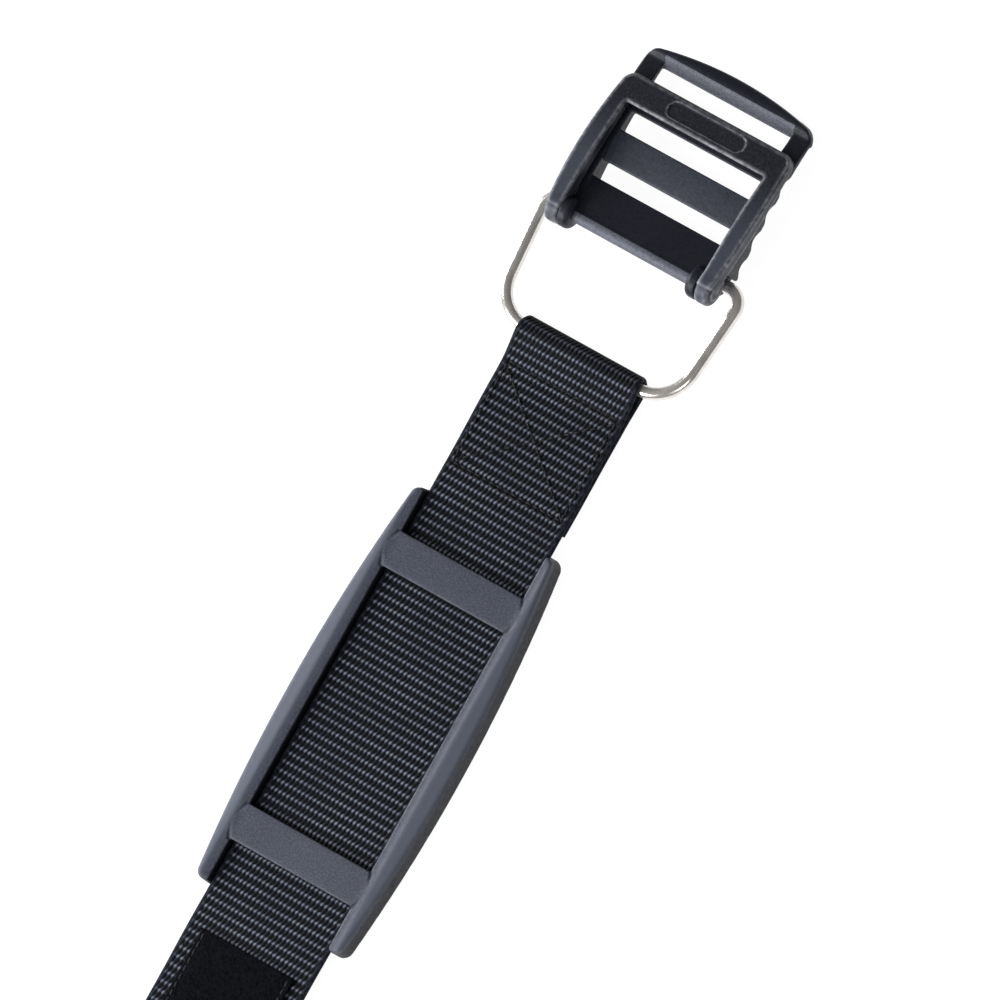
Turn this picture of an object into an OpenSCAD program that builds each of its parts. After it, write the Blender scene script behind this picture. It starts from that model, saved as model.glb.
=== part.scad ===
// Cylinder band of a breathing apparatus: 50 mm webbing folded round a wire ring, a rubber pad
// threaded on it, and a slotted cam buckle with a hinged locking frame. Units are millimetres.
// Origin: middle of the pad's underside. +X across the strap, +Y along it to the buckle, +Z up.

/* [Webbing] */
// Width of the webbing
web_w = 50; // [38:1:60]
// Thickness of the webbing
web_t = 2; // [1.4:0.1:2.6]
// Height of the webbing's underside inside the pad
web_z = 3.3; // [2.5:0.1:5]
// Y of the fold's outermost point
fold_end = 141.4; // [120:0.1:160]
// Length of the under layer behind the fold's end
under_len = 59; // [40:1:80]
// Distance from the fold's end to the first seam
seam_near = 17.2; // [12:0.1:30]
// Y where the strap starts down to the surface it lies on
ramp_start = -122; // [-140:1:-95]
// Y where the strap reaches that surface
ramp_end = -140; // [-170:1:-120]

/* [Rolled tail] */
// Y of the roll's middle
roll_y = -175; // [-220:1:-160]
// Outer radius of the roll
roll_r = 27; // [20:0.5:40]
// Growth of the spiral in one full turn
roll_pitch = 3.6; // [3.2:0.1:5]
// Number of half turns
roll_half_turns = 11; // [5:1:13]

/* [Hook and loop tape] */
// Width of both tapes
tape_w = 38; // [25:1:46]
// Thickness of both tapes
tape_t = 1.2; // [0.8:0.1:1.4]
// Y where the loop tape starts
loop_start = -88.1; // [-110:0.1:-84]
// Half turns of the roll that the loop tape covers
loop_half_turns = 2; // [1:1:4]
// First half turn with hook tape
hook_first = 7; // [4:1:8]
// Last half turn with hook tape
hook_last = 9; // [5:1:9]

/* [Seams] */
// Width of a sewn line
seam_w = 0.8; // [0.4:0.1:1.5]
// Height of the thread above the cloth
seam_h = 0.23; // [0.15:0.01:0.3]
// Half width of the box seam
box_half_w = 22.5; // [16:0.5:24]
// Length of the box seam
box_len = 38.1; // [25:0.1:45]

/* [Pad] */
// Height of the rails
pad_h = 9.6; // [7:0.1:14]
// Thickness of the floor under the webbing
pad_floor = 3; // [2:0.1:5]
// Y of the ear tips at the buckle end
pad_front = 74.4; // [60:0.1:90]
// Y of the ear tips at the tail end
pad_back = -74.3; // [-90:0.1:-60]
// Half width at the widest place
pad_half_w = 34.2; // [30:0.1:40]
// Radius of the curved sides, seen from above
pad_side_r = 575; // [300:5:900]
// Y of the widest place
pad_wide_y = -4.9; // [-20:0.1:20]
// Radius of the ear tips, seen from above
pad_tip_r = 3; // [1.5:0.1:5]
// Inside half width of the window and the passages
pad_in_half_w = 26.2; // [25.5:0.1:28]
// Width of each bridge over the webbing
bridge_w = 13; // [8:0.1:20]
// Length of the window between the bridges
window_len = 90.1; // [60:0.1:110]
// Y of the window's middle
window_mid = 0.15; // [-10:0.05:10]
// Underside of the bridges
bridge_z = 5.6; // [5:0.1:7]
// Top of the bridges
bridge_top = 8.8; // [7:0.1:12]

/* [Ring] */
// Wire diameter
wire_d = 4.5; // [3:0.1:6]
// Radial clearance of the wire in the fold and in the lever
wire_gap = 0.08; // [0.02:0.01:0.1]
// Half length of the straight bar in the fold
ring_bar_half = 25.2; // [25.2:0.1:30]
// Bend radius next to the bar
ring_low_r = 12.4; // [8:0.1:18]
// Lean of the sides outward
ring_lean = 5; // [0:0.1:8]
// Length of the straight sides
ring_side = 26.1; // [15:0.1:40]
// Bend radius at the free ends
ring_top_r = 5.8; // [4:0.1:8]
// X of the wire's end faces
ring_end_x = 22.6; // [18:0.1:27]
// Height of the free ends' axis
ring_axis_z = 3.2; // [3:0.05:5]

/* [Slotted lever] */
// Half width over the rails
lever_half_w = 33; // [30:0.1:36]
// Half length of the slots
slot_half = 26.5; // [25.5:0.1:28]
// Half width of the root between the knobs
root_half_w = 28; // [26:0.1:29]
// Y where the rails start
rail_start = 183.6; // [183.4:0.1:186]
// Y of the first slot
slot_1 = 191.8; // [188:0.1:195]
// Y of the second slot
slot_2 = 209.5; // [205:0.1:214]
// Y of the third slot
slot_3 = 227.9; // [224:0.1:230]
// Width of the first and the third slot
slot_w = 5.9; // [4.5:0.1:7]
// Width of the second slot
slot_w2 = 6.8; // [4.5:0.1:8]
// Y of the lever's outermost point
lever_end = 242.2; // [238:0.1:248]
// Radius of the bowed end, seen from above
lever_end_r = 138; // [80:1:300]
// Corner radius at the end
lever_corner_r = 5.5; // [3:0.1:8]
// Thickness of the end bar
end_bar_h = 4.9; // [3.5:0.1:6]
// Number of scallops in each side
scallops = 4; // [2:1:5]
// Spacing of the scallops
scallop_pitch = 10; // [8:0.1:12]
// Radius of a scallop
scallop_r = 6; // [4:0.1:9]
// Depth of a scallop
scallop_d = 1.1; // [0.5:0.1:1.8]

/* [Locking frame] */
// Y of the hinge pin
pin_y = 177.3; // [176:0.1:179]
// Height of the hinge pin
pin_z = 11.2; // [10.5:0.1:12]
// Radius of the knobs
knob_r = 5.7; // [5:0.1:5.9]
// X of the knobs' inner faces
knob_in_x = 28.3; // [28.2:0.1:29]
// X of the knobs' outer faces
knob_out_x = 34; // [33:0.1:34.2]
// Half width of the frame at its widest place
frame_half_w = 35.3; // [34:0.1:36]
// Y of the widest place
frame_wide_y = 203; // [195:0.5:210]
// Radius of the frame's bowed sides, seen from above
frame_side_r = 230; // [150:5:400]
// Y of the cross bar's inner edge
cross_start = 218.3; // [215:0.1:220]
// Y of the cross bar's outer edge
cross_end = 228.4; // [225:0.1:229]
// Corner radius of the frame
frame_corner_r = 5; // [2:0.1:8]
// Radius of the hinge pin
pin_r = 1.5; // [1:0.1:2]
// Half length of the hinge pin
pin_half = 32; // [30:0.1:33]

/* [Hidden] */
$fn = 96;
// for circles of 100 mm radius and more
big_fn = 720;
// a little, so that cuts pass through
e = 1;
// neighbouring pieces of one strap or wire overlap by this, and one of them is this much thinner
lap = 0.3;
inset = 0.02;
wire_r = wire_d / 2;
fold_in_r = wire_r + wire_gap;
fold_r = fold_in_r + web_t;
fold_y = fold_end - fold_r;
fold_z = fold_r;
web_top = web_z + web_t;
leg_y = fold_end - seam_near + 0.6;
under_y = fold_end - under_len;
loop_ride = 0.02;
// the buckle's curved faces: radius and centre of each, seen from the side
frame_top_r = 200;
frame_top_c = [171.7, -183];
frame_low_r = 240;
frame_low_c = [175.44, -228.69];
arch_r = 129;
arch_c = [212, -125.7];
frame_gap = 0.35;
// the ring lies in a plane through the bar and the free ends
corner_a = [ring_bar_half, ring_low_r];
side_a = corner_a + ring_low_r * [cos(ring_lean), -sin(ring_lean)];
side_b = side_a + ring_side * [sin(ring_lean), cos(ring_lean)];
corner_b = side_b - ring_top_r * [cos(ring_lean), -sin(ring_lean)];
ring_reach = corner_b[1] + ring_top_r;
ring_tilt = asin((ring_axis_z - fold_z) / ring_reach);
ring_axis_y = fold_y + ring_reach * cos(ring_tilt);

// a side view shape (Y across the page, Z up it) made w wide in X
module across(w) { rotate([90, 0, 90]) linear_extrude(w, center = true) children(); }

module box(lo, hi) { translate(lo) cube(hi - lo); }

module both_sides() { children(); mirror([1, 0, 0]) children(); }

// ---------------------------------------------------------------- webbing and what is sewn to it

// one half turn of the roll; lo and hi are heights above the webbing's outer face
module half_turn(i, lo, hi) {
    odd = i % 2;
    r = roll_r - i * roll_pitch / 2;
    thin = odd * inset;
    translate([roll_y, roll_r + odd * roll_pitch / 2]) difference() {
        circle(r - lo - thin);
        circle(r - hi + thin);
        translate([odd ? -2 * roll_r - lap : 0, -2 * roll_r]) square([2 * roll_r, 4 * roll_r]);
    }
}

// the strap from the ramp down to the roll, between two heights above its lower face
function lying(lo, hi) = [[ramp_start, web_z + hi], [ramp_end, hi - inset],
    [roll_y - lap, hi - inset], [roll_y - lap, lo + inset], [ramp_end, lo + inset],
    [ramp_start, web_z + lo]];

// the fold's legs run from the seam to the circle round the wire: up is 1 for the upper leg
function leg_angle(z, up) = atan2(fold_z - z, fold_y - leg_y)
    + up * asin(fold_r / norm([fold_y - leg_y, fold_z - z]));
function leg_side(a, up) = up * [-sin(a), cos(a)];
function leg_tip(a, up, r) = [fold_y, fold_z] + r * leg_side(a, up) + lap * [cos(a), sin(a)];

module fold(up_a, low_a) {
    far = 3 * fold_r;
    translate([fold_y, fold_z]) difference() {
        circle(fold_r);
        circle(fold_in_r);
        polygon([[0, 0], far * leg_side(up_a, 1), [-far, far], [-far, -far],
                 far * leg_side(low_a, -1)]);
    }
    // the under layer and its leg
    polygon([[leg_y + web_t * tan(-low_a / 2), web_z + inset], [under_y, web_z + inset],
             [under_y, web_z - web_t], [leg_y, web_z - web_t],
             leg_tip(low_a, -1, fold_r - inset), leg_tip(low_a, -1, fold_in_r + inset)]);
    // the upper layer, all the way to the roll, and its leg
    polygon(concat([[leg_y, web_top]], lying(0, web_t), [[leg_y + web_t * tan(up_a / 2), web_z],
                   leg_tip(up_a, 1, fold_in_r + inset), leg_tip(up_a, 1, fold_r - inset)]));
}

module webbing_strap() {
    color([0.06, 0.065, 0.09]) across(web_w) {
        fold(leg_angle(web_top, 1), leg_angle(web_z - web_t, -1));
        for (i = [0 : roll_half_turns - 1]) half_turn(i, 0, web_t);
    }
}

module seam_lines() {
    y1 = fold_end - seam_near;
    y0 = y1 - box_len;
    span = norm([2 * box_half_w, box_len]);
    tilt = atan2(box_len, 2 * box_half_w);
    for (y = [y0, y1]) translate([0, y]) square([2 * box_half_w + seam_w, seam_w], center = true);
    for (x = [-1, 1]) translate([x * box_half_w, (y0 + y1) / 2])
        square([seam_w, box_len], center = true);
    for (m = [-1, 1]) translate([0, (y0 + y1) / 2]) rotate(m * tilt)
        square([span, seam_w], center = true);
}

module box_x_stitching() {
    color([0.05, 0.05, 0.07]) for (z = [web_top + loop_ride, web_z - web_t - loop_ride - seam_h])
        translate([0, 0, z]) linear_extrude(seam_h) seam_lines();
}

module loop_run(lo, hi) {
    polygon(concat([[loop_start, web_z + lo], [loop_start, web_z + hi]], lying(lo, hi)));
    for (i = [0 : loop_half_turns - 1]) half_turn(i, lo, hi);
}

module hook_run(lo, hi) { for (i = [hook_first : hook_last]) half_turn(i, lo, hi); }

module edge_seams() {
    for (x = [-1, 1]) translate([x * (tape_w / 2 - 1.6), 0, 0]) across(seam_w) children();
}

module loop_patch() {
    color([0.04, 0.04, 0.05]) across(tape_w) loop_run(web_t + loop_ride, web_t + tape_t);
}

module loop_patch_stitching() {
    color([0.05, 0.05, 0.07]) edge_seams()
        loop_run(web_t + tape_t + loop_ride, web_t + tape_t + seam_h);
}

module hook_patch() {
    color([0.05, 0.05, 0.06]) across(tape_w) hook_run(web_t + loop_ride, web_t + tape_t);
}

module hook_patch_stitching() {
    color([0.05, 0.05, 0.07]) edge_seams()
        hook_run(web_t + tape_t + loop_ride, web_t + tape_t + seam_h);
}

// ---------------------------------------------------------------- pad

module pad_end(y, s) {
    w = pad_half_w - pow(y - pad_wide_y, 2) / (2 * pad_side_r);
    x = w - pad_tip_r;
    translate([-x, s > 0 ? 0 : y]) square([2 * x, abs(y)]);
    for (m = [-1, 1]) translate([m * x, y - s * pad_tip_r]) circle(pad_tip_r);
    translate([-2 * w, s > 0 ? 0 : y + pad_tip_r]) square([4 * w, abs(y) - pad_tip_r]);
}

module pad_outline() {
    intersection() {
        translate([pad_half_w - pad_side_r, pad_wide_y]) circle(pad_side_r, $fn = big_fn);
        translate([pad_side_r - pad_half_w, pad_wide_y]) circle(pad_side_r, $fn = big_fn);
        union() { pad_end(pad_front, 1); pad_end(pad_back, -1); }
    }
}

module anti_slip_pad() {
    w = pad_in_half_w;
    y1 = window_mid + window_len / 2;
    y0 = window_mid - window_len / 2;
    color([0.27, 0.29, 0.33]) difference() {
        linear_extrude(pad_h) pad_outline();
        // passage for the webbing, under the bridges and between the ears
        box([-w, pad_back - e, pad_floor], [w, pad_front + e, bridge_z]);
        box([-w, y0, pad_floor], [w, y1, pad_h + e]);
        box([-w, y1 + bridge_w, pad_floor], [w, pad_front + e, pad_h + e]);
        box([-w, pad_back - e, pad_floor], [w, y0 - bridge_w, pad_h + e]);
        // the bridges lie lower than the rails
        box([-w, pad_back - e, bridge_top], [w, pad_front + e, pad_h + e]);
    }
}

// ---------------------------------------------------------------- ring

module wire_bend(at, r, from, sweep) {
    translate([at[0], at[1], 0]) rotate(from) rotate_extrude(angle = sweep)
        translate([r, 0]) circle(wire_r - inset);
}

module half_ring() {
    wire_bend(corner_a, ring_low_r, -90, 90 - ring_lean);
    translate([side_a[0], side_a[1], 0]) rotate([-90, 0, -ring_lean])
        translate([0, 0, -lap / 2]) cylinder(r = wire_r, h = ring_side + lap);
    wire_bend(corner_b, ring_top_r, -ring_lean, 90 + ring_lean);
    translate([ring_end_x, ring_reach, 0]) rotate([0, 90, 0])
        cylinder(r = wire_r, h = corner_b[0] - ring_end_x + lap / 2);
}

module tension_ring() {
    bar = ring_bar_half + lap / 2;
    color([0.78, 0.78, 0.8]) translate([0, fold_y, fold_z]) rotate([ring_tilt, 0, 0]) {
        translate([-bar, 0, 0]) rotate([0, 90, 0]) cylinder(r = wire_r, h = 2 * bar);
        both_sides() half_ring();
    }
}

// ---------------------------------------------------------------- buckle

module lever_outline() {
    x = lever_half_w - lever_corner_r;
    // where a corner circle touches the bowed end
    y = lever_end - lever_end_r + sqrt(pow(lever_end_r - lever_corner_r, 2) - x * x);
    intersection() {
        translate([0, lever_end - lever_end_r]) circle(lever_end_r, $fn = big_fn);
        union() {
            translate([-lever_half_w, rail_start]) square([2 * lever_half_w, y - rail_start]);
            translate([-x, rail_start]) square([2 * x, lever_end - rail_start]);
            for (m = [-1, 1]) translate([m * x, y]) circle(lever_corner_r);
        }
    }
}

// side view of the rails, under the frame's arms
module rail_side() {
    difference() {
        intersection() {
            translate(frame_low_c) circle(frame_low_r - frame_gap, $fn = big_fn);
            translate([rail_start - e, 0]) square([lever_end - rail_start + 2 * e, 3 * knob_r]);
        }
        translate(arch_c) circle(arch_r, $fn = big_fn);
    }
}

module root_side() {
    translate([pin_y, pin_z]) circle(2.5);
    polygon([[176.6, 0], [176, 1.2], [175.1, 10], [178.6, 13.3], [slot_1, 9.4], [slot_1, 3],
             [187, 0.9], [184.5, 0]]);
}

module slotted_lever() {
    y_scallop = rail_start + 5;
    color([0.1, 0.11, 0.13]) difference() {
        union() {
            intersection() {
                across(2 * lever_half_w) rail_side();
                linear_extrude(3 * knob_r) lever_outline();
            }
            intersection() {
                box([-lever_half_w, slot_3 + 1.5, 0], [lever_half_w, lever_end, end_bar_h]);
                linear_extrude(3 * knob_r) lever_outline();
            }
            across(2 * root_half_w) root_side();
        }
        // the three slots
        for (s = [[slot_1, slot_w], [slot_2, slot_w2], [slot_3, slot_w]])
            box([-slot_half, s[0], -e], [slot_half, s[0] + s[1], 3 * knob_r]);
        // the bars between the slots lie lower than the rails
        box([-slot_half, slot_1, 8.6], [slot_half, slot_2, 3 * knob_r]);
        // bores for the ring's ends and for the hinge pin
        both_sides() translate([ring_end_x - 0.6, ring_axis_y, ring_axis_z]) rotate([0, 90, 0])
            cylinder(r = wire_r + wire_gap, h = 20);
        translate([-root_half_w - e, pin_y, pin_z]) rotate([0, 90, 0])
            cylinder(r = pin_r + 0.02, h = 2 * (root_half_w + e));
        // finger scallops in the outer sides
        both_sides() for (i = [0 : scallops - 1])
            translate([lever_half_w + scallop_r - scallop_d, y_scallop + i * scallop_pitch, -e])
                cylinder(r = scallop_r, h = 3 * knob_r);
    }
}

module frame_outline() {
    x = frame_half_w - pow(cross_end - frame_wide_y, 2) / (2 * frame_side_r) - frame_corner_r;
    y = cross_end - frame_corner_r;
    intersection() {
        translate([frame_half_w - frame_side_r, frame_wide_y]) circle(frame_side_r, $fn = big_fn);
        translate([frame_side_r - frame_half_w, frame_wide_y]) circle(frame_side_r, $fn = big_fn);
        union() {
            translate([-2 * x, pin_y]) square([4 * x, y - pin_y]);
            translate([-x, pin_y]) square([2 * x, cross_end - pin_y]);
            for (m = [-1, 1]) translate([m * x, y]) circle(frame_corner_r);
        }
    }
}

module frame_side() {
    intersection() {
        difference() {
            translate(frame_top_c) circle(frame_top_r, $fn = big_fn);
            translate(frame_low_c) circle(frame_low_r, $fn = big_fn);
        }
        translate([pin_y, 0]) square([cross_end - pin_y + e, 4 * knob_r]);
    }
}

module locking_frame() {
    color([0.12, 0.13, 0.15]) difference() {
        union() {
            intersection() {
                across(3 * frame_half_w) frame_side();
                linear_extrude(4 * knob_r) frame_outline();
            }
            both_sides() translate([knob_in_x, pin_y, pin_z]) rotate([0, 90, 0])
                cylinder(r = knob_r, h = knob_out_x - knob_in_x);
        }
        box([-knob_in_x - 0.1, pin_y - knob_r - e, -e], [knob_in_x + 0.1, cross_start, 4 * knob_r]);
        both_sides() translate([knob_in_x - e, pin_y, pin_z]) rotate([0, 90, 0])
            cylinder(r = pin_r + 0.06, h = pin_half + 0.3 - knob_in_x + e);
    }
}

module hinge_pin() {
    color([0.7, 0.7, 0.72]) translate([-pin_half, pin_y, pin_z]) rotate([0, 90, 0])
        cylinder(r = pin_r, h = 2 * pin_half);
}

webbing_strap();
box_x_stitching();
loop_patch();
loop_patch_stitching();
hook_patch();
hook_patch_stitching();
anti_slip_pad();
tension_ring();
slotted_lever();
locking_frame();
hinge_pin();
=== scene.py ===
"""The looks of the cylinder band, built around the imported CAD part.

Lengths are in millimetres unless a name ends in _m.
"""

import math

import bpy
import numpy as np
from mathutils import Matrix, Vector


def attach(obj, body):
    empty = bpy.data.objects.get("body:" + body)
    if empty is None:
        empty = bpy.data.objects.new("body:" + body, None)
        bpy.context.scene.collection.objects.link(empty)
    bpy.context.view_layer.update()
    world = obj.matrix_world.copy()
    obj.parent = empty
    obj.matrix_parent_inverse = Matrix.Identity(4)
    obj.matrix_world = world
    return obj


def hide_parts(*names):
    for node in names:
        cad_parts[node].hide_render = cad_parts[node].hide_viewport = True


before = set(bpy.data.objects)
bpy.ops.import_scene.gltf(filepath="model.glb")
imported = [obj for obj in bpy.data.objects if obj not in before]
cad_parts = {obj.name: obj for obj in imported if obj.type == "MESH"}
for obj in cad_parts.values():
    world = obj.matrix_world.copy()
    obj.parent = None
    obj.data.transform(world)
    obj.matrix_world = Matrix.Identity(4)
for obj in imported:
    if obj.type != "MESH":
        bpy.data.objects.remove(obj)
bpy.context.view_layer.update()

MM = 0.001
ROW = 3.19  # one rib of the webbing, along the strap
YARN = 1.65  # one yarn, across the strap

# ------------------------------------------------------------------ small tools


def smooth_max(a, b, k):
    """The larger of a and b, rounded over a width of k where they cross."""
    h = np.clip(k - np.abs(a - b), 0, None) / k
    return np.maximum(a, b) + h * h * k * 0.25


def smooth_min(a, b, k):
    """The smaller of a and b, rounded over a width of k where they cross."""
    return -smooth_max(-a, -b, k)


def corner(a, b, r):
    """The space inside both fields, with a corner of radius r where they meet square."""
    outside = np.hypot(np.clip(a + r, 0, None), np.clip(b + r, 0, None))
    return outside + np.minimum(np.maximum(a, b) + r, 0) - r


def all_of(k, *fields):
    """The space inside every field, its edges rounded over k."""
    out = fields[0]
    for f in fields[1:]:
        out = smooth_max(out, f, k)
    return out


def step(x, start, end):
    """0 before start and 1 after end, with a smooth rise between them."""
    t = np.clip((x - start) / (end - start), 0, 1)
    return t * t * (3 - 2 * t)


def polygon_field(u, v, points):
    """Signed distance to a closed polygon."""
    best = np.full(u.shape, 1e9)
    inside = np.zeros(u.shape, bool)
    for (ax, ay), (bx, by) in zip(points, points[1:] + points[:1]):
        ex, ey = bx - ax, by - ay
        t = np.clip(((u - ax) * ex + (v - ay) * ey) / (ex * ex + ey * ey), 0, 1)
        best = np.minimum(best, np.hypot(u - ax - t * ex, v - ay - t * ey))
        crosses = (ay > v) != (by > v)
        side = (ex * (v - ay) - ey * (u - ax)) * (1 if ey > 0 else -1)
        inside ^= crosses & (side > 0)
    return np.where(inside, -best, best)


def add_mesh(name, verts, faces, body, material, stands_for=(), uv=None):
    """A smooth mesh from points in millimetres, riding on a CAD body."""
    mesh = bpy.data.meshes.new(name)
    mesh.from_pydata((np.asarray(verts, float) * MM).tolist(), [], faces)
    mesh.update()
    if uv is not None:
        layer = mesh.uv_layers.new(name="cloth")
        index = np.zeros(len(mesh.loops), np.int32)
        mesh.loops.foreach_get("vertex_index", index)
        layer.data.foreach_set("uv", (np.asarray(uv)[index] * MM).astype(np.float32).ravel())
    mesh.polygons.foreach_set("use_smooth", np.ones(len(mesh.polygons), bool))
    for m in material if isinstance(material, list) else [material]:
        mesh.materials.append(m)
    obj = bpy.data.objects.new(name, mesh)
    bpy.context.scene.collection.objects.link(obj)
    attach(obj, body)
    if stands_for:
        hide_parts(*stands_for)
    return obj


def skin(field, lo, hi, cell):
    """Points and quads of the surface where field is zero.

    They are found on a grid from lo to hi and then moved onto the surface.
    """
    n = [int(math.ceil((h - l) / cell)) + 1 for l, h in zip(lo, hi)]
    axes = [lo[i] + cell * np.arange(n[i]) for i in range(3)]
    value = field(*np.meshgrid(*axes, indexing="ij"))
    inside = value < 0
    corners = [(i, j, k) for i in (0, 1) for j in (0, 1) for k in (0, 1)]
    count = sum(
        inside[i : n[0] - 1 + i, j : n[1] - 1 + j, k : n[2] - 1 + k].astype(np.int8)
        for i, j, k in corners
    )
    cells = np.argwhere((count > 0) & (count < 8))
    index = np.full(count.shape, -1, np.int64)
    index[tuple(cells.T)] = np.arange(len(cells))
    at = {c: value[tuple((cells + c).T)] for c in corners}
    total, hits = np.zeros((len(cells), 3)), np.zeros(len(cells))
    for a in corners:
        for axis in range(3):
            if a[axis]:
                continue
            b = tuple(1 if i == axis else a[i] for i in range(3))
            fa, fb = at[a], at[b]
            cut = (fa < 0) != (fb < 0)
            t = np.where(cut, fa / np.where(cut, fa - fb, 1), 0)
            point = np.tile(np.array(a, float), (len(cells), 1))
            point[:, axis] += t
            total += point * cut[:, None]
            hits += cut
    verts = np.array(lo) + cell * (cells + total / hits[:, None])
    quads = []
    for a in range(3):
        b, c = (a + 1) % 3, (a + 2) % 3
        here = np.moveaxis(inside, (a, b, c), (0, 1, 2))
        cell_id = np.moveaxis(index, (a, b, c), (0, 1, 2))
        low, high = here[:-1, 1:-1, 1:-1], here[1:, 1:-1, 1:-1]
        i, j, k = np.nonzero(low != high)
        ring = np.stack(
            [cell_id[i, j, k], cell_id[i, j + 1, k], cell_id[i, j + 1, k + 1], cell_id[i, j, k + 1]],
            axis=1,
        )
        out = low[i, j, k]
        ring[~out] = ring[~out][:, ::-1]
        quads.append(ring)
    eps = cell * 0.2
    for _ in range(3):
        p = verts.T
        f = field(*p)
        grad = np.stack(
            [
                (field(*(p + d[:, None])) - field(*(p - d[:, None]))) / (2 * eps)
                for d in np.eye(3) * eps
            ],
            axis=1,
        )
        size = np.maximum((grad**2).sum(1), 0.25)
        move = np.clip(f / size, -cell * 0.5, cell * 0.5)
        verts = verts - grad * move[:, None]
    return verts, np.concatenate(quads).tolist()


def tubes(paths, radius, sides, up, flat=1.0):
    """Closed tubes along many paths at once.

    paths is (count, points, 3) and radius (count, points).
    """
    count, points, _ = paths.shape
    along = np.gradient(paths, axis=1)
    along /= np.linalg.norm(along, axis=2, keepdims=True)
    side = np.cross(along, up)
    side /= np.linalg.norm(side, axis=2, keepdims=True)
    above = np.cross(side, along)
    turn = 2 * np.pi * np.arange(sides) / sides
    ring = np.cos(turn)[:, None] * side[:, :, None] + flat * np.sin(turn)[:, None] * above[:, :, None]
    verts = (paths[:, :, None] + radius[:, :, None, None] * ring).reshape(-1, 3)
    tube, i, j = np.meshgrid(
        np.arange(count), np.arange(points - 1), np.arange(sides), indexing="ij"
    )
    start = tube * points * sides
    nxt = (j + 1) % sides
    faces = np.stack(
        [
            start + i * sides + j,
            start + (i + 1) * sides + j,
            start + (i + 1) * sides + nxt,
            start + i * sides + nxt,
        ],
        axis=-1,
    ).reshape(-1, 4).tolist()
    for t in range(count):
        first = t * points * sides
        last = first + (points - 1) * sides
        faces.append([first + s for s in range(sides)])
        faces.append([last + s for s in reversed(range(sides))])
    return verts, faces


# ------------------------------------------------------------------ materials


class Finish:
    """A procedural material, made node by node."""

    def __init__(self, name, **sockets):
        self.material = bpy.data.materials.new(name)
        self.material.use_nodes = True
        self.tree = self.material.node_tree
        self.shader = self.tree.nodes["Principled BSDF"]
        for key, value in sockets.items():
            self.shader.inputs[key.replace("_", " ")].default_value = value
        self.place = self.node("TexCoord").outputs["Object"]

    def node(self, kind, feeds=None, **props):
        made = self.tree.nodes.new("ShaderNode" + kind)
        for key, value in props.items():
            setattr(made, key, value)
        for key, value in (feeds or {}).items():
            self.feed(made.inputs[key], value)
        return made

    def feed(self, socket, value):
        if isinstance(value, bpy.types.NodeSocket):
            self.tree.links.new(value, socket)
        else:
            socket.default_value = value

    def calc(self, operation, *values):
        return self.node("Math", dict(enumerate(values)), operation=operation).outputs[0]

    def wave(self, value, phase=0.0):
        """0 to 1 and back once for each unit of value, 1 at whole numbers."""
        turned = self.calc("MULTIPLY_ADD", value, 2 * math.pi, 2 * math.pi * phase)
        return self.calc("MULTIPLY_ADD", self.calc("COSINE", turned), 0.5, 0.5)

    def noise(self, per_mm, detail=2.0, rough=0.5, stretch=(1, 1, 1)):
        """Noise with about per_mm blobs in a millimetre."""
        feeds = {0: self.place, 1: stretch}
        scaled = self.node("VectorMath", feeds, operation="MULTIPLY").outputs[0]
        feeds = {"Vector": scaled, "Scale": per_mm / MM, "Detail": detail, "Roughness": rough}
        return self.node("TexNoise", feeds).outputs[0]

    def remap(self, value, a, b, c, d):
        feeds = {"Value": value, "From Min": a, "From Max": b, "To Min": c, "To Max": d}
        return self.node("MapRange", feeds).outputs[0]

    def spread(self, noise, low, high):
        """Noise stretched to low..high: most of it lies between 0.3 and 0.7."""
        return self.remap(noise, 0.3, 0.7, low, high)

    def mix(self, share, a, b):
        made = self.node("Mix", data_type="RGBA")
        for socket, value in zip([made.inputs[0], made.inputs[6], made.inputs[7]], [share, a, b]):
            self.feed(socket, value)
        return made.outputs[2]

    def bump(self, height, depth_mm, strength=1.0, over=None):
        feeds = {"Height": height, "Distance": depth_mm * MM, "Strength": strength}
        if over is not None:
            feeds["Normal"] = over
        return self.node("Bump", feeds).outputs[0]

    def edges(self, low=0.5, high=0.56):
        """1 on outer edges, from the shape itself."""
        return self.remap(self.node("NewGeometry").outputs["Pointiness"], low, high, 0, 1)

    def finish(self, **links):
        for key, value in links.items():
            self.feed(self.shader.inputs[key.replace("_", " ")], value)
        return self.material


def rgb(r, g, b):
    return (r, g, b, 1.0)


def paler(colour, times):
    return tuple(min(1.0, c * times) for c in colour[:3]) + (1.0,)


# the two base tones of the buckle's smooth plastic
BUCKLE_TONES = rgb(0.006, 0.0072, 0.012), rgb(0.01, 0.0118, 0.018)


def plastic(name, dark, light, roughness, grain, depth):
    """Moulded plastic: fine spark-eroded grain, faint flow marks, and edges painted paler, partly as
    wear and partly as painted highlight.
    """
    m = Finish(name, IOR=1.46, Specular_IOR_Level=0.3)
    flow = m.noise(0.06, 3, 0.6)
    fine = m.noise(grain, 3, 0.65)
    base = m.mix(m.spread(flow, 0, 1), dark, light)
    speck = m.remap(fine, 0.35, 0.75, 0, 1)
    base = m.mix(m.calc("MULTIPLY", speck, 0.55), base, paler(light, 2.4))
    # edges painted paler: partly wear, partly painted highlights along the chamfers
    wear_and_edge_highlight = m.calc("MULTIPLY", m.edges(), m.remap(m.noise(0.5, 3), 0.4, 0.65, 0.2, 0.7))
    base = m.mix(wear_and_edge_highlight, base, paler(light, 4))
    rough = m.spread(m.noise(0.8, 3, 0.6), roughness - 0.06, roughness + 0.08)
    return m.finish(Base_Color=base, Roughness=rough, Normal=m.bump(fine, depth, 0.8))


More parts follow.
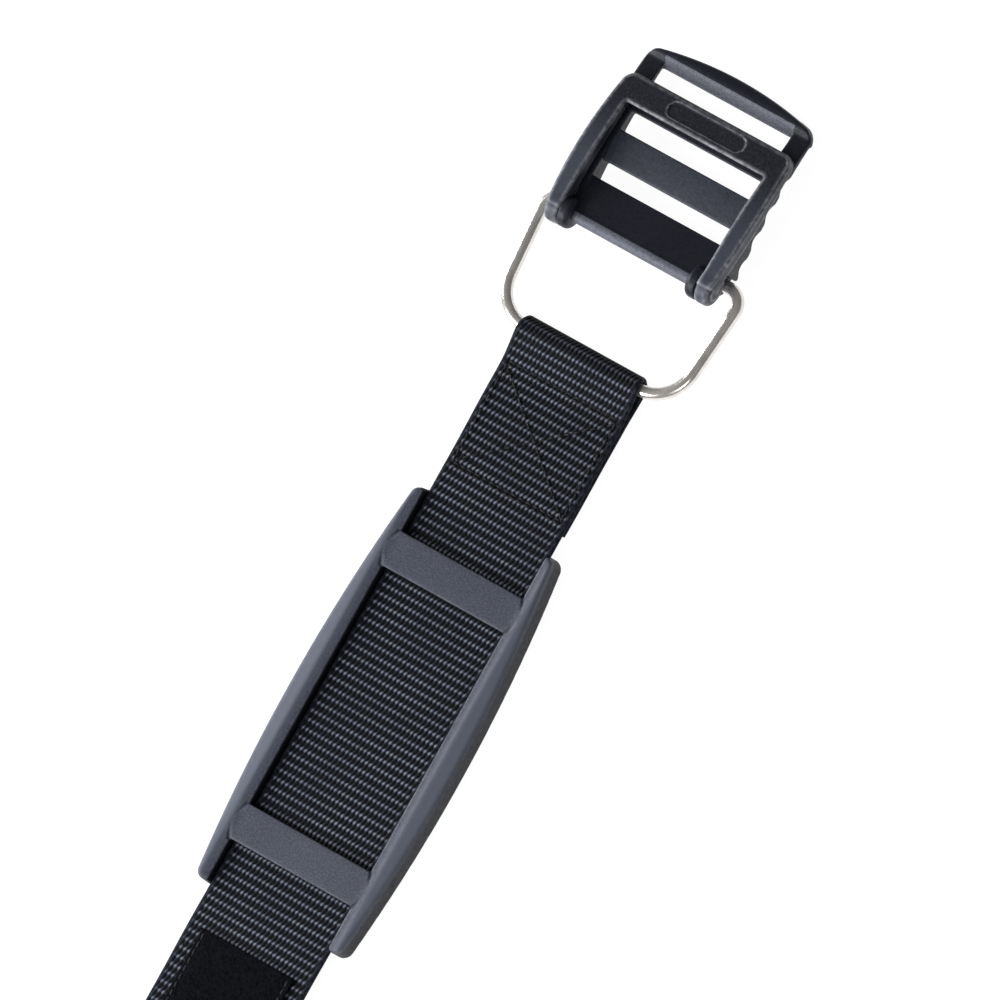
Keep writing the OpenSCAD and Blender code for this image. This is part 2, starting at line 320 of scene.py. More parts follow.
def frame_plastic():
    """The frame's plastic: its arms are painted paler than the cross bar, as painted light."""
    m = Finish("buckle_plastic_frame", IOR=1.46, Specular_IOR_Level=0.3)
    y = m.node("SeparateXYZ", {0: m.place}).outputs[1]
    # painted light: the arms are painted paler than the cross bar
    painted_lit_arm = m.remap(y, 196 * MM, 219 * MM, 1, 0)
    fine = m.noise(1.5, 3, 0.7)
    base = m.mix(m.spread(m.noise(0.06, 3, 0.6), 0, 1), *BUCKLE_TONES)
    base = m.mix(painted_lit_arm, base, rgb(0.043, 0.049, 0.068))
    base = m.mix(m.calc("MULTIPLY", m.remap(fine, 0.4, 0.75, 0, 1), 0.4), base, rgb(0.08, 0.088, 0.112))
    # edges painted pale: partly wear, partly painted highlights along the chamfers
    wear_and_edge_highlight = m.calc("MULTIPLY", m.edges(0.5, 0.535), m.remap(m.noise(0.5, 3), 0.4, 0.65, 0.4, 1.0))
    base = m.mix(wear_and_edge_highlight, base, rgb(0.3, 0.31, 0.34))
    rough = m.spread(m.noise(0.8, 3, 0.6), 0.38, 0.52)
    return m.finish(Base_Color=base, Roughness=rough, Normal=m.bump(fine, 0.07, 0.8))


def rubber():
    """Pad rubber: matt and mottled, with a painted highlight on the rail tops, edges painted paler as
    wear and painted highlight, and painted shade low down.
    """
    m = Finish("pad_rubber", IOR=1.48, Specular_IOR_Level=0.35)
    cloud = m.noise(0.035, 4, 0.6)
    fine = m.noise(1.5, 3, 0.7)
    base = m.mix(m.spread(cloud, 0, 1), rgb(0.025, 0.03, 0.049), rgb(0.038, 0.0445, 0.067))
    base = m.mix(m.remap(fine, 0.42, 0.72, 0, 0.6), base, rgb(0.115, 0.123, 0.152))
    place = m.node("SeparateXYZ", {0: m.place})
    x, z = m.calc("ABSOLUTE", place.outputs[0]), place.outputs[2]
    # painted highlight: the rail tops are painted paler
    over_rail = m.remap(x, 26.2 * MM, 28.5 * MM, 0, 1)
    painted_lit_rail = m.calc("MULTIPLY", over_rail, m.remap(z, 7.2 * MM, 8.2 * MM, 0, 1))
    base = m.mix(m.calc("MULTIPLY", painted_lit_rail, 0.85), base, rgb(0.088, 0.097, 0.13))
    # painted shade: faces lower than about 7.6 mm are painted nearly black, down the walls and in the
    # openings
    base = m.mix(m.remap(z, 6 * MM, 7.6 * MM, 0.88, 0), base, rgb(0.007, 0.008, 0.012))
    # edges painted paler: partly wear, partly painted edge highlights
    wear_and_edge_highlight = m.calc("MULTIPLY", m.edges(0.505, 0.55), m.remap(m.noise(0.3, 3), 0.4, 0.7, 0.1, 0.55))
    base = m.mix(wear_and_edge_highlight, base, rgb(0.16, 0.165, 0.19))
    rough = m.spread(m.noise(0.5, 3, 0.6), 0.5, 0.66)
    scuff = m.noise(0.25, 2, 0.5, (1, 0.08, 1))
    normal = m.bump(fine, 0.05, 0.55, m.bump(scuff, 0.08, 0.25))
    return m.finish(Base_Color=base, Roughness=rough, Normal=normal)


def steel(name, base_dark, base_light, roughness, metallic):
    """Drawn stainless wire: faint lines and small scuffs."""
    m = Finish(name, Metallic=metallic)
    blot = m.noise(0.25, 3, 0.6)
    line = m.noise(1.2, 3, 0.7, (0.12, 0.12, 1.6))
    base = m.mix(m.spread(blot, 0, 1), base_dark, base_light)
    rough = m.spread(line, roughness - 0.06, roughness + 0.1)
    scuff = m.noise(2.4, 2, 0.5)
    normal = m.bump(scuff, 0.012, 0.4, m.bump(line, 0.012, 0.5))
    return m.finish(Base_Color=base, Roughness=rough, Normal=normal)


def webbing_finish(fold):
    """Heavy nylon webbing: ribs across it, each a row of yarns, with painted highlights on the yarns'
    crowns and painted shade in the dark gaps between them.

    The painted highlights fade where the webbing turns round the wire, fold along the strap.
    """
    m = Finish("webbing", IOR=1.5, Specular_IOR_Level=0.07)
    place = m.node("SeparateXYZ", {0: m.node("UVMap", uv_map="cloth").outputs[0]})
    x, along = place.outputs[0], place.outputs[1]
    wobble = m.calc("MULTIPLY_ADD", m.noise(0.12, 2), 0.5, -0.25)
    v = m.calc("MULTIPLY", along, 1 / (ROW * MM))
    u = m.calc("MULTIPLY_ADD", x, 1 / (YARN * MM), m.calc("MULTIPLY_ADD", v, 0.5, wobble))
    rib, yarn, gap = m.wave(v), m.wave(u), m.wave(u, 0.45)
    # painted highlight: the crowns of the yarns on each rib are painted pale
    painted_yarn_highlight = m.calc("MULTIPLY", m.calc("POWER", rib, 3.0), m.calc("POWER", yarn, 2.2))
    # near the fold the painted highlight is taken off, which leaves it darker as painted shade
    off_fold = m.calc("ABSOLUTE", m.calc("SUBTRACT", along, fold * MM))
    painted_yarn_highlight = m.calc("MULTIPLY", painted_yarn_highlight, m.remap(off_fold, 3 * MM, 5.5 * MM, 0.1, 1))
    valley = m.calc("POWER", m.calc("SUBTRACT", 1.0, rib), 0.7)
    oval = m.remap(m.calc("MULTIPLY", valley, m.calc("POWER", gap, 0.7)), 0.05, 0.42, 0, 1)
    edge = m.remap(m.calc("ABSOLUTE", x), 22.9 * MM, 23.8 * MM, 0, 1)
    fibre = m.noise(3.5, 3, 0.7, (1.6, 0.35, 1))
    patchy = m.spread(m.noise(0.08, 2), 0.7, 1.25)
    base = m.mix(m.remap(fibre, 0.3, 0.75, 0, 1), rgb(0.007, 0.0085, 0.0135), rgb(0.034, 0.04, 0.058))
    lit = m.calc("MULTIPLY", m.calc("MULTIPLY", painted_yarn_highlight, patchy), m.calc("SUBTRACT", 1.0, edge))
    base = m.mix(lit, base, rgb(0.21, 0.23, 0.285))
    # painted shade: the gaps between the yarns are painted near black, less so at the selvedges
    dark = m.calc("MULTIPLY", oval, m.calc("MULTIPLY_ADD", edge, -0.55, 0.97))
    base = m.mix(dark, base, rgb(0.0015, 0.0015, 0.002))
    crown = m.calc("MULTIPLY", yarn, m.calc("MULTIPLY_ADD", rib, 0.6, 0.4))
    height = m.calc("ADD", crown, m.calc("MULTIPLY", rib, 0.6))
    height = m.calc("SUBTRACT", height, m.calc("MULTIPLY", oval, 0.7))
    normal = m.bump(height, 0.28, 0.9, m.bump(fibre, 0.05, 0.6))
    return m.finish(Base_Color=base, Roughness=m.spread(fibre, 0.5, 0.7), Normal=normal)


def fuzz(name, dark, light, roughness):
    """Fibres of hook and loop tape."""
    m = Finish(name, Specular_IOR_Level=0.03)
    tuft = m.noise(0.9, 3, 0.7)
    fine = m.noise(4.0, 2, 0.6)
    base = m.mix(m.remap(tuft, 0.35, 0.7, 0, 1), dark, light)
    base = m.mix(m.remap(fine, 0.45, 0.8, 0, 0.5), base, paler(light, 2))
    normal = m.bump(fine, 0.12, 0.7, m.bump(tuft, 0.35, 0.7))
    return m.finish(Base_Color=base, Roughness=roughness, Normal=normal)


def thread_finish():
    """Black polyester thread, two plies twisted together."""
    m = Finish("thread", IOR=1.5, Specular_IOR_Level=0.25)
    ply = m.node(
        "TexWave",
        {"Vector": m.place, "Scale": 900.0, "Distortion": 1.5, "Detail": 2.0},
        bands_direction="DIAGONAL",
    ).outputs[1]
    base = m.mix(m.remap(ply, 0.2, 0.8, 0, 1), rgb(0.003, 0.003, 0.004), rgb(0.014, 0.015, 0.019))
    rough = m.spread(m.noise(2.0), 0.45, 0.65)
    return m.finish(Base_Color=base, Roughness=rough, Normal=m.bump(ply, 0.08, 0.7))


LOOP = fuzz("loop_tape", rgb(0.002, 0.0023, 0.0032), rgb(0.0065, 0.007, 0.0095), 0.85)
PILE = fuzz("loop_pile", rgb(0.0025, 0.003, 0.004), rgb(0.012, 0.013, 0.017), 0.7)
HOOK = fuzz("hook_tape", rgb(0.005, 0.0055, 0.007), rgb(0.014, 0.015, 0.018), 0.55)
THREAD = thread_finish()
RUBBER = rubber()
WIRE = steel("stainless_wire", rgb(0.74, 0.71, 0.67), rgb(0.9, 0.86, 0.82), 0.2, 0.78)
PIN = steel("pin_steel", rgb(0.42, 0.42, 0.43), rgb(0.56, 0.56, 0.57), 0.28, 1.0)
PLASTIC = plastic("buckle_plastic", *BUCKLE_TONES, 0.42, 1.5, 0.05)
FRAME = frame_plastic()
# the gripping bar's plastic: real grain, and a paler base as painted light on its upward faces
GRAINED_PAINTED_LIT = plastic(
    "buckle_plastic_grained_painted_lit", rgb(0.018, 0.021, 0.031), rgb(0.03, 0.034, 0.047), 0.5, 1.6, 0.1
)
# painted highlight: a paler copy of the plastic for lever faces that catch the key
PAINTED_HIGHLIGHT_PLASTIC = plastic(
    "buckle_plastic_painted_highlight", rgb(0.06, 0.065, 0.085), rgb(0.09, 0.096, 0.12), 0.45, 1.4, 0.06
)

# ------------------------------------------------------------------ the strap's line

FOLD_Y, FOLD_Z, WIRE_R = 137.07, 4.33, 2.25
HALF_W, HALF_T = 25.0, 1.0
FOLD_GAP = 0.08  # between the wire and the cloth
TOP_Z = 4.3  # middle of the upper layer
LOW_Z = TOP_Z - 2 * HALF_T  # middle of the lower layer
RAMP_START, RAMP_END, ROLL_Y = -122.0, -140.0, -175.0
ROLL_R, PITCH, HALF_TURNS = 27.0, 3.6, 11
LEG_Y = 124.8  # where the two layers start to part round the wire
UNDER_Y = 82.4  # the lower layer's end
LOW_TURN, HIGH_TURN = -96.16, 106.08  # the fold's start and end, in degrees round the wire


def rounded(points, radius):
    """The points as a line whose corners are rounded."""
    points = [np.array(p, float) for p in points]
    out = [points[0]]
    for a, b, c in zip(points, points[1:], points[2:]):
        u, v = (a - b) / np.linalg.norm(a - b), (c - b) / np.linalg.norm(c - b)
        reach = radius * math.tan((math.pi - math.acos(np.clip(u @ v, -1, 1))) / 2)
        for k in np.linspace(0, 1, 9):
            out.append((1 - k) ** 2 * (b + u * reach) + 2 * k * (1 - k) * b + k * k * (b + v * reach))
    return out + [points[-1]]


def arc(cy, cz, r, start, end, n):
    """n points on a circle round (cy, cz), from start to end in degrees."""
    t = np.radians(np.linspace(start, end, n))
    return [np.array([cy + r * math.cos(a), cz + r * math.sin(a)]) for a in t]


around = arc(FOLD_Y, FOLD_Z, WIRE_R + FOLD_GAP + HALF_T, LOW_TURN, HIGH_TURN, 60)
line = rounded([(UNDER_Y, LOW_Z), (LEG_Y, LOW_Z), around[0]], 20) + around
upper = [around[-1], (LEG_Y, TOP_Z), (RAMP_START, TOP_Z), (RAMP_END, HALF_T), (ROLL_Y, HALF_T)]
line += rounded(upper, 30)
for turn in range(HALF_TURNS):
    odd = turn % 2
    r = ROLL_R - turn * PITCH / 2 - HALF_T
    line += arc(ROLL_Y, ROLL_R + odd * PITCH / 2, r, 90 if odd else 270, -90 if odd else 90, 60)[1:]
line = np.array(line)
line = line[np.concatenate([[True], np.linalg.norm(np.diff(line, axis=0), axis=1) > 1e-6])]
LENGTHS = np.concatenate([[0], np.cumsum(np.linalg.norm(np.diff(line, axis=0), axis=1))])
STRAP_LENGTH = LENGTHS[-1]


def on_line(s):
    """Points (Y, Z) of the strap's middle at lengths s, and the way its outer face looks there."""
    s = np.asarray(s, float)
    point = np.stack([np.interp(s, LENGTHS, line[:, i]) for i in (0, 1)], axis=-1)
    ahead = np.stack([np.interp(s + 0.3, LENGTHS, line[:, i]) for i in (0, 1)], axis=-1)
    behind = np.stack([np.interp(s - 0.3, LENGTHS, line[:, i]) for i in (0, 1)], axis=-1)
    t = ahead - behind
    t /= np.linalg.norm(t, axis=-1, keepdims=True)
    return point, np.stack([t[..., 1], -t[..., 0]], axis=-1)


def length_at(y, after=0.0):
    """Length along the strap where its upper layer passes Y."""
    i = np.nonzero((LENGTHS[:-1] > after) & (line[:-1, 0] >= y) & (line[1:, 0] < y))[0][0]
    share = (line[i, 0] - y) / (line[i, 0] - line[i + 1, 0])
    return LENGTHS[i] + share * (LENGTHS[i + 1] - LENGTHS[i])


FOLD_S = float(LENGTHS[np.argmax(line[:, 0])])  # the strap's turning point round the wire
LYING_S = length_at(RAMP_END + 4, FOLD_S)  # from about here on it lies flat or in the roll
WEBBING = webbing_finish(FOLD_S)
SEAM_X = 22.4
SEAM_Y = [124.2, 86.1]
SEAM_S = [length_at(y, FOLD_S) for y in SEAM_Y]


RIB_DEPTH = 0.13  # half of a rib's height
SEAM_DENT = 0.16  # how far a seam pulls the cloth in
TAPE_SEAM_X = 17.4
STITCH_PITCH = 3.0
STITCH_LINE = np.linspace(-0.43, 0.43, 7)  # points along a stitch, as shares of the pitch
THREAD_R = 0.4


def strip(s, columns, outer, inner, edge_round):
    """A closed strip along the strap's line.

    outer and inner give each face's height above the middle, edge_round the share of it
    that is left near the edges.
    """
    top = np.stack([outer(s, x) for x in columns], axis=1)
    low = np.stack([inner(s, x) for x in columns], axis=1)
    mid = (top + low) / 2
    share = edge_round(np.abs(columns))
    top, low = mid + (top - mid) * share, mid + (low - mid) * share
    xs = np.concatenate([columns, columns[-2:0:-1]])
    heights = np.concatenate([top, low[:, -2:0:-1]], axis=1)
    point, normal = on_line(s)
    verts = np.zeros((len(s), len(xs), 3))
    verts[..., 0] = xs
    verts[..., 1:] = point[:, None] + heights[..., None] * normal[:, None]
    k = len(xs)
    i, j = np.meshgrid(np.arange(len(s) - 1), np.arange(k), indexing="ij")
    nxt = (j + 1) % k
    faces = np.stack([i * k + j, i * k + nxt, (i + 1) * k + nxt, (i + 1) * k + j], axis=-1)
    faces = faces.reshape(-1, 4).tolist()
    last = (len(s) - 1) * k
    faces.append(list(reversed(range(k))))
    faces.append(list(range(last, last + k)))
    uv = np.zeros((len(s), k, 2))
    uv[..., 0] = xs
    uv[..., 1] = s[:, None]
    return verts.reshape(-1, 3), faces, uv.reshape(-1, 2)


def build_webbing():
    """The ribbed webbing, from the lower layer's end to the middle of the roll."""
    half = np.array([0, 5, 10, 15, 20, 22, 23.2, 24, 24.5, 24.85, HALF_W])
    columns = np.concatenate([-half[:0:-1], half])
    s = np.concatenate(
        [np.arange(0, LYING_S, ROW / 8), np.arange(LYING_S, STRAP_LENGTH, ROW / 5), [STRAP_LENGTH]]
    )

    def rib(s, x):
        deep = RIB_DEPTH * (1 - step(abs(x), 23.0, 24.2))
        dent = sum(np.exp(-(((s - m) / 0.9) ** 2)) for m in SEAM_S)
        pulled = SEAM_DENT * dent * (abs(x) < SEAM_X + 0.2)
        return HALF_T - deep * (1 - np.cos(2 * np.pi * s / ROW)) - pulled

    def round_edge(x):
        return np.sqrt(np.clip(1 - np.clip(x - 24, 0, None) ** 2, 0, 1))

    verts, faces, uv = strip(s, columns, rib, lambda s, x: -rib(s, x), round_edge)
    # the cloth draws in a little where it turns round the wire
    near = np.exp(-(((uv[:, 1] - FOLD_S) / 4.0) ** 2))
    verts[:, 0] *= 1 - 0.045 * near
    # and its edges are never quite straight
    verts[:, 0] += 0.12 * np.sin(uv[:, 1] / 17.0) + 0.05 * np.sin(uv[:, 1] / 5.3)
    return add_mesh("webbing", verts, faces, "strap", WEBBING, ["webbing_strap"], uv)


def sewn(path_points, normals):
    """Stitches, each a short thread that comes up out of the cloth and goes down again."""
    lift = np.sin(np.linspace(0, np.pi, len(STITCH_LINE)))
    paths = path_points + normals * (-0.22 + 0.34 * lift)[None, :, None]
    radius = np.tile(THREAD_R * (0.55 + 0.45 * lift), (len(paths), 1))
    return tubes(paths, radius, 8, normals, 0.65)


def straight_stitches(a, b, z, up):
    """Centre lines of the stitches from a to b (X, Y) on a level face."""
    a, b = np.array(a, float), np.array(b, float)
    n = max(1, int(round(np.linalg.norm(b - a) / STITCH_PITCH)))
    t = (np.arange(n)[:, None] + 0.5 + STITCH_LINE[None]) / n
    points = np.zeros((n, len(STITCH_LINE), 3))
    points[..., :2] = a + t[..., None] * (b - a)
    points[..., 2] = z
    return points, np.broadcast_to(np.array([0, 0, float(up)]), points.shape)


def stitched_object(name, runs, stands_for):
    """One object from several runs of stitches, each a pair of points and normals."""
    points = np.concatenate([p for p, _ in runs])
    normals = np.concatenate([n for _, n in runs])
    verts, faces = sewn(points, normals)
    return add_mesh(name, verts, faces, "strap", THREAD, stands_for)


def build_box_seam():
    """The box and its two diagonals, seen on both faces of the doubled webbing."""
    x, (far, near) = SEAM_X, SEAM_Y
    runs = []
    for z, up in [(TOP_Z + HALF_T, 1), (LOW_Z - HALF_T, -1)]:
        for y in (far, near):
            runs.append(straight_stitches((-x, y + 0.5), (x, y + 0.5), z - up * 0.12, up))
            runs.append(straight_stitches((-x, y - 0.7), (x, y - 0.7), z - up * 0.12, up))
        for side in (-1, 1):
            runs.append(straight_stitches((side * x, near), (side * x, far), z, up))
            runs.append(straight_stitches((-side * x, near + 1), (side * x, far - 1), z - up * 0.05, up))
    return stitched_object("box_x_stitches", runs, ["box_x_stitching"])


def tape(name, material, start, end, stands_for, ripple):
    """A tape sewn on the strap's outer face, pulled in along its seams."""
    half = np.array([0, 4, 8, 12, 15, 16.8, 17.4, 18.0, 18.5, 18.85, 19.0])
    columns = np.concatenate([-half[:0:-1], half])
    s = np.arange(start, end, 1.0)

    def outer(s, x):
        seam = np.exp(-(((abs(x) - TAPE_SEAM_X) / 0.5) ** 2))
        uneven = ripple * (np.sin(s * 2.1 + x * 1.7) * np.sin(s * 0.83 - x * 2.3))
        return HALF_T + 1.12 - 0.22 * seam + uneven + 0 * s

    def inner(s, x):
        return HALF_T + 0.02 + 0 * s

    def round_edge(x):
        return np.sqrt(np.clip(1 - (np.clip(x - 18.3, 0, None) / 0.72) ** 2, 0, 1))

    verts, faces, uv = strip(s, columns, outer, inner, round_edge)
    return add_mesh(name, verts, faces, "strap", material, stands_for, uv)


def tape_stitches(name, start, end, stands_for):
    """The two seams along a tape's edges."""
    n = int((end - start - 2) / STITCH_PITCH)
    s = start + 1 + (np.arange(n)[:, None] + 0.5 + STITCH_LINE[None]) * STITCH_PITCH
    point, normal = on_line(s)
    runs = []
    for x in (-TAPE_SEAM_X, TAPE_SEAM_X):
        points = np.zeros((n, len(STITCH_LINE), 3))
        points[..., 0] = x
        points[..., 1:] = point + normal * (HALF_T + 1.0)
        normals = np.zeros_like(points)
        normals[..., 1:] = normal
        runs.append((points, normals))
    return stitched_object(name, runs, stands_for)


def loop_pile(start, end, count=8200, seed=7):
    """The raised loops of the tape: short arches that lie every way."""
    rng = np.random.default_rng(seed)
    s0 = rng.uniform(start + 0.6, end - 0.6, count)
    x0 = rng.uniform(-16.6, 16.6, count)
    reach = rng.uniform(0.5, 1.1, count)
    high = rng.uniform(0.25, 0.55, count)
    way = rng.uniform(0, 2 * np.pi, count)
    t = np.linspace(0, 1, 4)
    bow = np.sin(np.pi * t)
    s = s0[:, None] + reach[:, None] * np.sin(way)[:, None] * (t - 0.5)
    x = x0[:, None] + reach[:, None] * np.cos(way)[:, None] * (t - 0.5)
    point, normal = on_line(s)
    lift = HALF_T + 1.0 + high[:, None] * bow
    paths = np.zeros((count, 4, 3))
    paths[..., 0] = x
    paths[..., 1:] = point + normal * lift[..., None]
    up = np.zeros_like(paths)
    up[..., 1:] = normal
    verts, faces = tubes(paths, np.full((count, 4), 0.08), 3, up)
    return add_mesh("loop_tape_pile", verts, faces, "strap", PILE)


def hook_rows(start, end):
    """The hooks of the other tape, in rows: short bristles with bent tips."""
    s0, x0 = np.meshgrid(np.arange(start + 1, end - 1, 1.6), np.arange(-16, 16.1, 1.6))
    s0, x0 = s0.ravel(), x0.ravel()
    t = np.array([0.0, 0.35, 0.6, 0.75, 0.7])
    lean = np.array([0.0, 0.0, 0.1, 0.35, 0.6])
    s = s0[:, None] + lean[None]
    point, normal = on_line(s)
    paths = np.zeros((len(s0), 5, 3))
    paths[..., 0] = x0[:, None]
    paths[..., 1:] = point + normal * (HALF_T + 1.05 + 0.6 * t)[None, :, None]
    up = np.zeros_like(paths)
    up[..., 0] = 1
    verts, faces = tubes(paths, np.full(paths.shape[:2], 0.1), 4, up)
    return add_mesh("hook_tape_hooks", verts, faces, "strap", HOOK)


webbing = build_webbing()
box_seam = build_box_seam()
ROLL_S = length_at(ROLL_Y + 0.01, LYING_S)
turn_length = [math.pi * (ROLL_R - i * PITCH / 2 - HALF_T) for i in range(HALF_TURNS)]
LOOP_START = length_at(-88.1, FOLD_S)
LOOP_END = ROLL_S + sum(turn_length[:2])
HOOK_START = ROLL_S + sum(turn_length[:7])
HOOK_END = ROLL_S + sum(turn_length[:10])
loop_tape = tape("loop_tape", LOOP, LOOP_START, LOOP_END, ["loop_patch"], 0.07)
loop_seams = tape_stitches("loop_tape_stitches", LOOP_START, LOOP_END, ["loop_patch_stitching"])
pile = loop_pile(LOOP_START, LOOP_END)
hook_tape = tape("hook_tape", HOOK, HOOK_START, HOOK_END, ["hook_patch"], 0.0)
hook_seams = tape_stitches("hook_tape_stitches", HOOK_START, HOOK_END, ["hook_patch_stitching"])
hooks = hook_rows(HOOK_START, HOOK_END)

# ------------------------------------------------------------------ pad

PAD_Y, PAD_HALF_L = 0.05, 74.35
PAD_HALF_W, PAD_BOW_R, WIDEST_Y = 34.2, 575, -4.9  # the long sides are arcs
RAIL_TOP, BRIDGE_TOP = 9.3, 9.0
RAIL_X = 28.2  # where the rails start, out from the middle
CHANNEL_X = 25.7  # half the width of the openings
CHANNEL_Z, BRIDGE_Z = 3.0, 5.6  # floor of the channel and underside of the bridges
WINDOW_Y, WINDOW_HALF_L = 0.15, 45.05
FRONT_Y, BACK_Y = 58.2, -57.9  # where the open ends start


def pad_field(x, y, z):
    """The pad: two rails joined by a floor and by a bridge at each end of a long window."""
    ax = np.abs(x)
    side = np.hypot(ax + PAD_BOW_R - PAD_HALF_W, y - WIDEST_Y) - PAD_BOW_R
    outline = corner(side, np.abs(y - PAD_Y) - PAD_HALF_L, 3)
    # the rails lean in a little and slope on both sides beside the openings
    off = abs(y - WINDOW_Y)
    beside_opening = 1 - step(off, 43, 47) + step(off, 56, 60)
    slope_out = 0.2 * np.clip(ax - 28.5, 0, None)
    slope_in = 0.2 * beside_opening * np.clip(RAIL_X - ax, 0, 2.6)
    top = RAIL_TOP - slope_out - slope_in
    body = smooth_max(outline + 0.06 * (z - 4), (z - top) * 0.92, 1.4)
    body = smooth_max(body, -z, 1.0)
    # the openings' walls lean in over the webbing's edges
    wall = ax - CHANNEL_X + 0.24 * np.clip(z - 5.9, 0, 3.4)
    passage = all_of(0.4, ax - CHANNEL_X, CHANNEL_Z - z, z - BRIDGE_Z)
    window = all_of(0.8, wall, off - WINDOW_HALF_L, CHANNEL_Z - z)
    front = all_of(0.8, wall, FRONT_Y - y, CHANNEL_Z - z)
    back = all_of(0.8, wall, y - BACK_Y, CHANNEL_Z - z)
    # bridges sit lower than the rails and run into them
    low = smooth_max(ax - RAIL_X, BRIDGE_TOP - z, 4.5)
    body = smooth_max(body, -low, 2.0)
    for hole in (passage, window, front, back):
        body = smooth_max(body, -hole, 0.5)
    # creases run from the corners of the openings into the bridges
    window_far, window_near = WINDOW_Y + WINDOW_HALF_L, WINDOW_Y - WINDOW_HALF_L
    for cy, way in ((window_far, 1), (FRONT_Y, -1), (window_near, -1), (BACK_Y, 1)):
        cx, ex, ey = CHANNEL_X - 0.1, 1.7, 4.4 * way
        t = np.clip(((ax - cx) * ex + (y - cy) * ey) / (ex * ex + ey * ey), 0, 1)
        away = np.hypot(ax - cx - t * ex, y - cy - t * ey)
        groove = smooth_max(away - 0.55 * (1 - 0.8 * t), 8.0 + 0.9 * t - z, 0.2)
        body = smooth_max(body, -groove, 0.4)
    return body


verts, faces = skin(pad_field, (-36, -76, -1), (36, 76, 11), 0.5)
add_mesh("pad", verts, faces, "pad", RUBBER, ["anti_slip_pad"])

# ------------------------------------------------------------------ ring

TILT = math.radians(-1.484862)  # of the ring's plane against the floor
LOW_BEND, TOP_BEND = 14.4, 5.8  # radii of the bends at the fold and at the lever
BAR = 23.2  # half of the straight bar in the fold
LEAN, SIDE = 5.0, 24.27  # the sides' lean outwards in degrees, and their length
RING_END = 22.6  # the free ends, out from the middle
END_ROUNDING = 0.5


def ring_line():
    """The wire's middle, from one free end round to the other, in the ring's own plane."""
    lean = math.radians(LEAN)
    a = np.array([BAR, LOW_BEND])
    side_a = a + LOW_BEND * np.array([math.cos(lean), -math.sin(lean)])
    side_b = side_a + SIDE * np.array([math.sin(lean), math.cos(lean)])
    b = side_b - TOP_BEND * np.array([math.cos(lean), -math.sin(lean)])
    half = [np.array([x, 0.0]) for x in np.linspace(0, BAR, 12)[:-1]]
    half += arc(*a, LOW_BEND, -90, -LEAN, 28)
    half += [side_a + (side_b - side_a) * t for t in np.linspace(0, 1, 14)[1:-1]]
    half += arc(*b, TOP_BEND, -LEAN, 90, 24)
    reach = b[1] + TOP_BEND
    half += [np.array([x, reach]) for x in np.linspace(b[0], RING_END, 8)[1:]]
    half = np.array(half)
    return np.concatenate([half[::-1], half[1:] * [-1, 1]])


flat_line = ring_line()
ring_path = np.stack(
    [
        flat_line[:, 0],
        FOLD_Y + flat_line[:, 1] * math.cos(TILT),
        FOLD_Z + flat_line[:, 1] * math.sin(TILT),
    ],
    axis=1,
)
radius = np.full((1, len(ring_path)), WIRE_R)
radius[0, [0, -1]] = WIRE_R - END_ROUNDING
ring_up = np.tile(np.array([0, -math.sin(TILT), math.cos(TILT)]), (1, len(ring_path), 1))
verts, faces = tubes(ring_path[None], radius, 32, ring_up)
add_mesh("wire_ring", verts, faces, "ring", WIRE, ["tension_ring"])

# ------------------------------------------------------------------ buckle

PIN_Y, PIN_Z = 177.3, 11.2  # the hinge pin's axis
AXIS_Y, AXIS_Z = 180.663, 3.2  # the axis of the ring's free ends
CURVE_Y, CURVE_Z = 175.44, -228.69  # the lever's top and the frame's underside share a centre
LEVER_HALF_W, LEVER_END = 33.8, 242.6
RAIL_IN = 26.5  # the lever's rails start here, out from the middle
ROOT_END = 191.8
GRIP, SECOND = (197.7, 209.5), (216.3, 227.9)  # the bars' start and end along Y
END_START = 233.8
RIDGE_Y, RIDGE_Z = 238.3, 4.75  # the top of the end bar
SLOTS = [(ROOT_END, GRIP[0]), (GRIP[1], SECOND[0]), (SECOND[1], END_START)]
ROOT = [
    (177.2, 0.0), (176.6, 1.2), (175.6, 10.0), (178.6, 13.3),
    (ROOT_END, 9.4), (ROOT_END, 3.0), (187.0, 0.9), (184.5, 0.0),
]


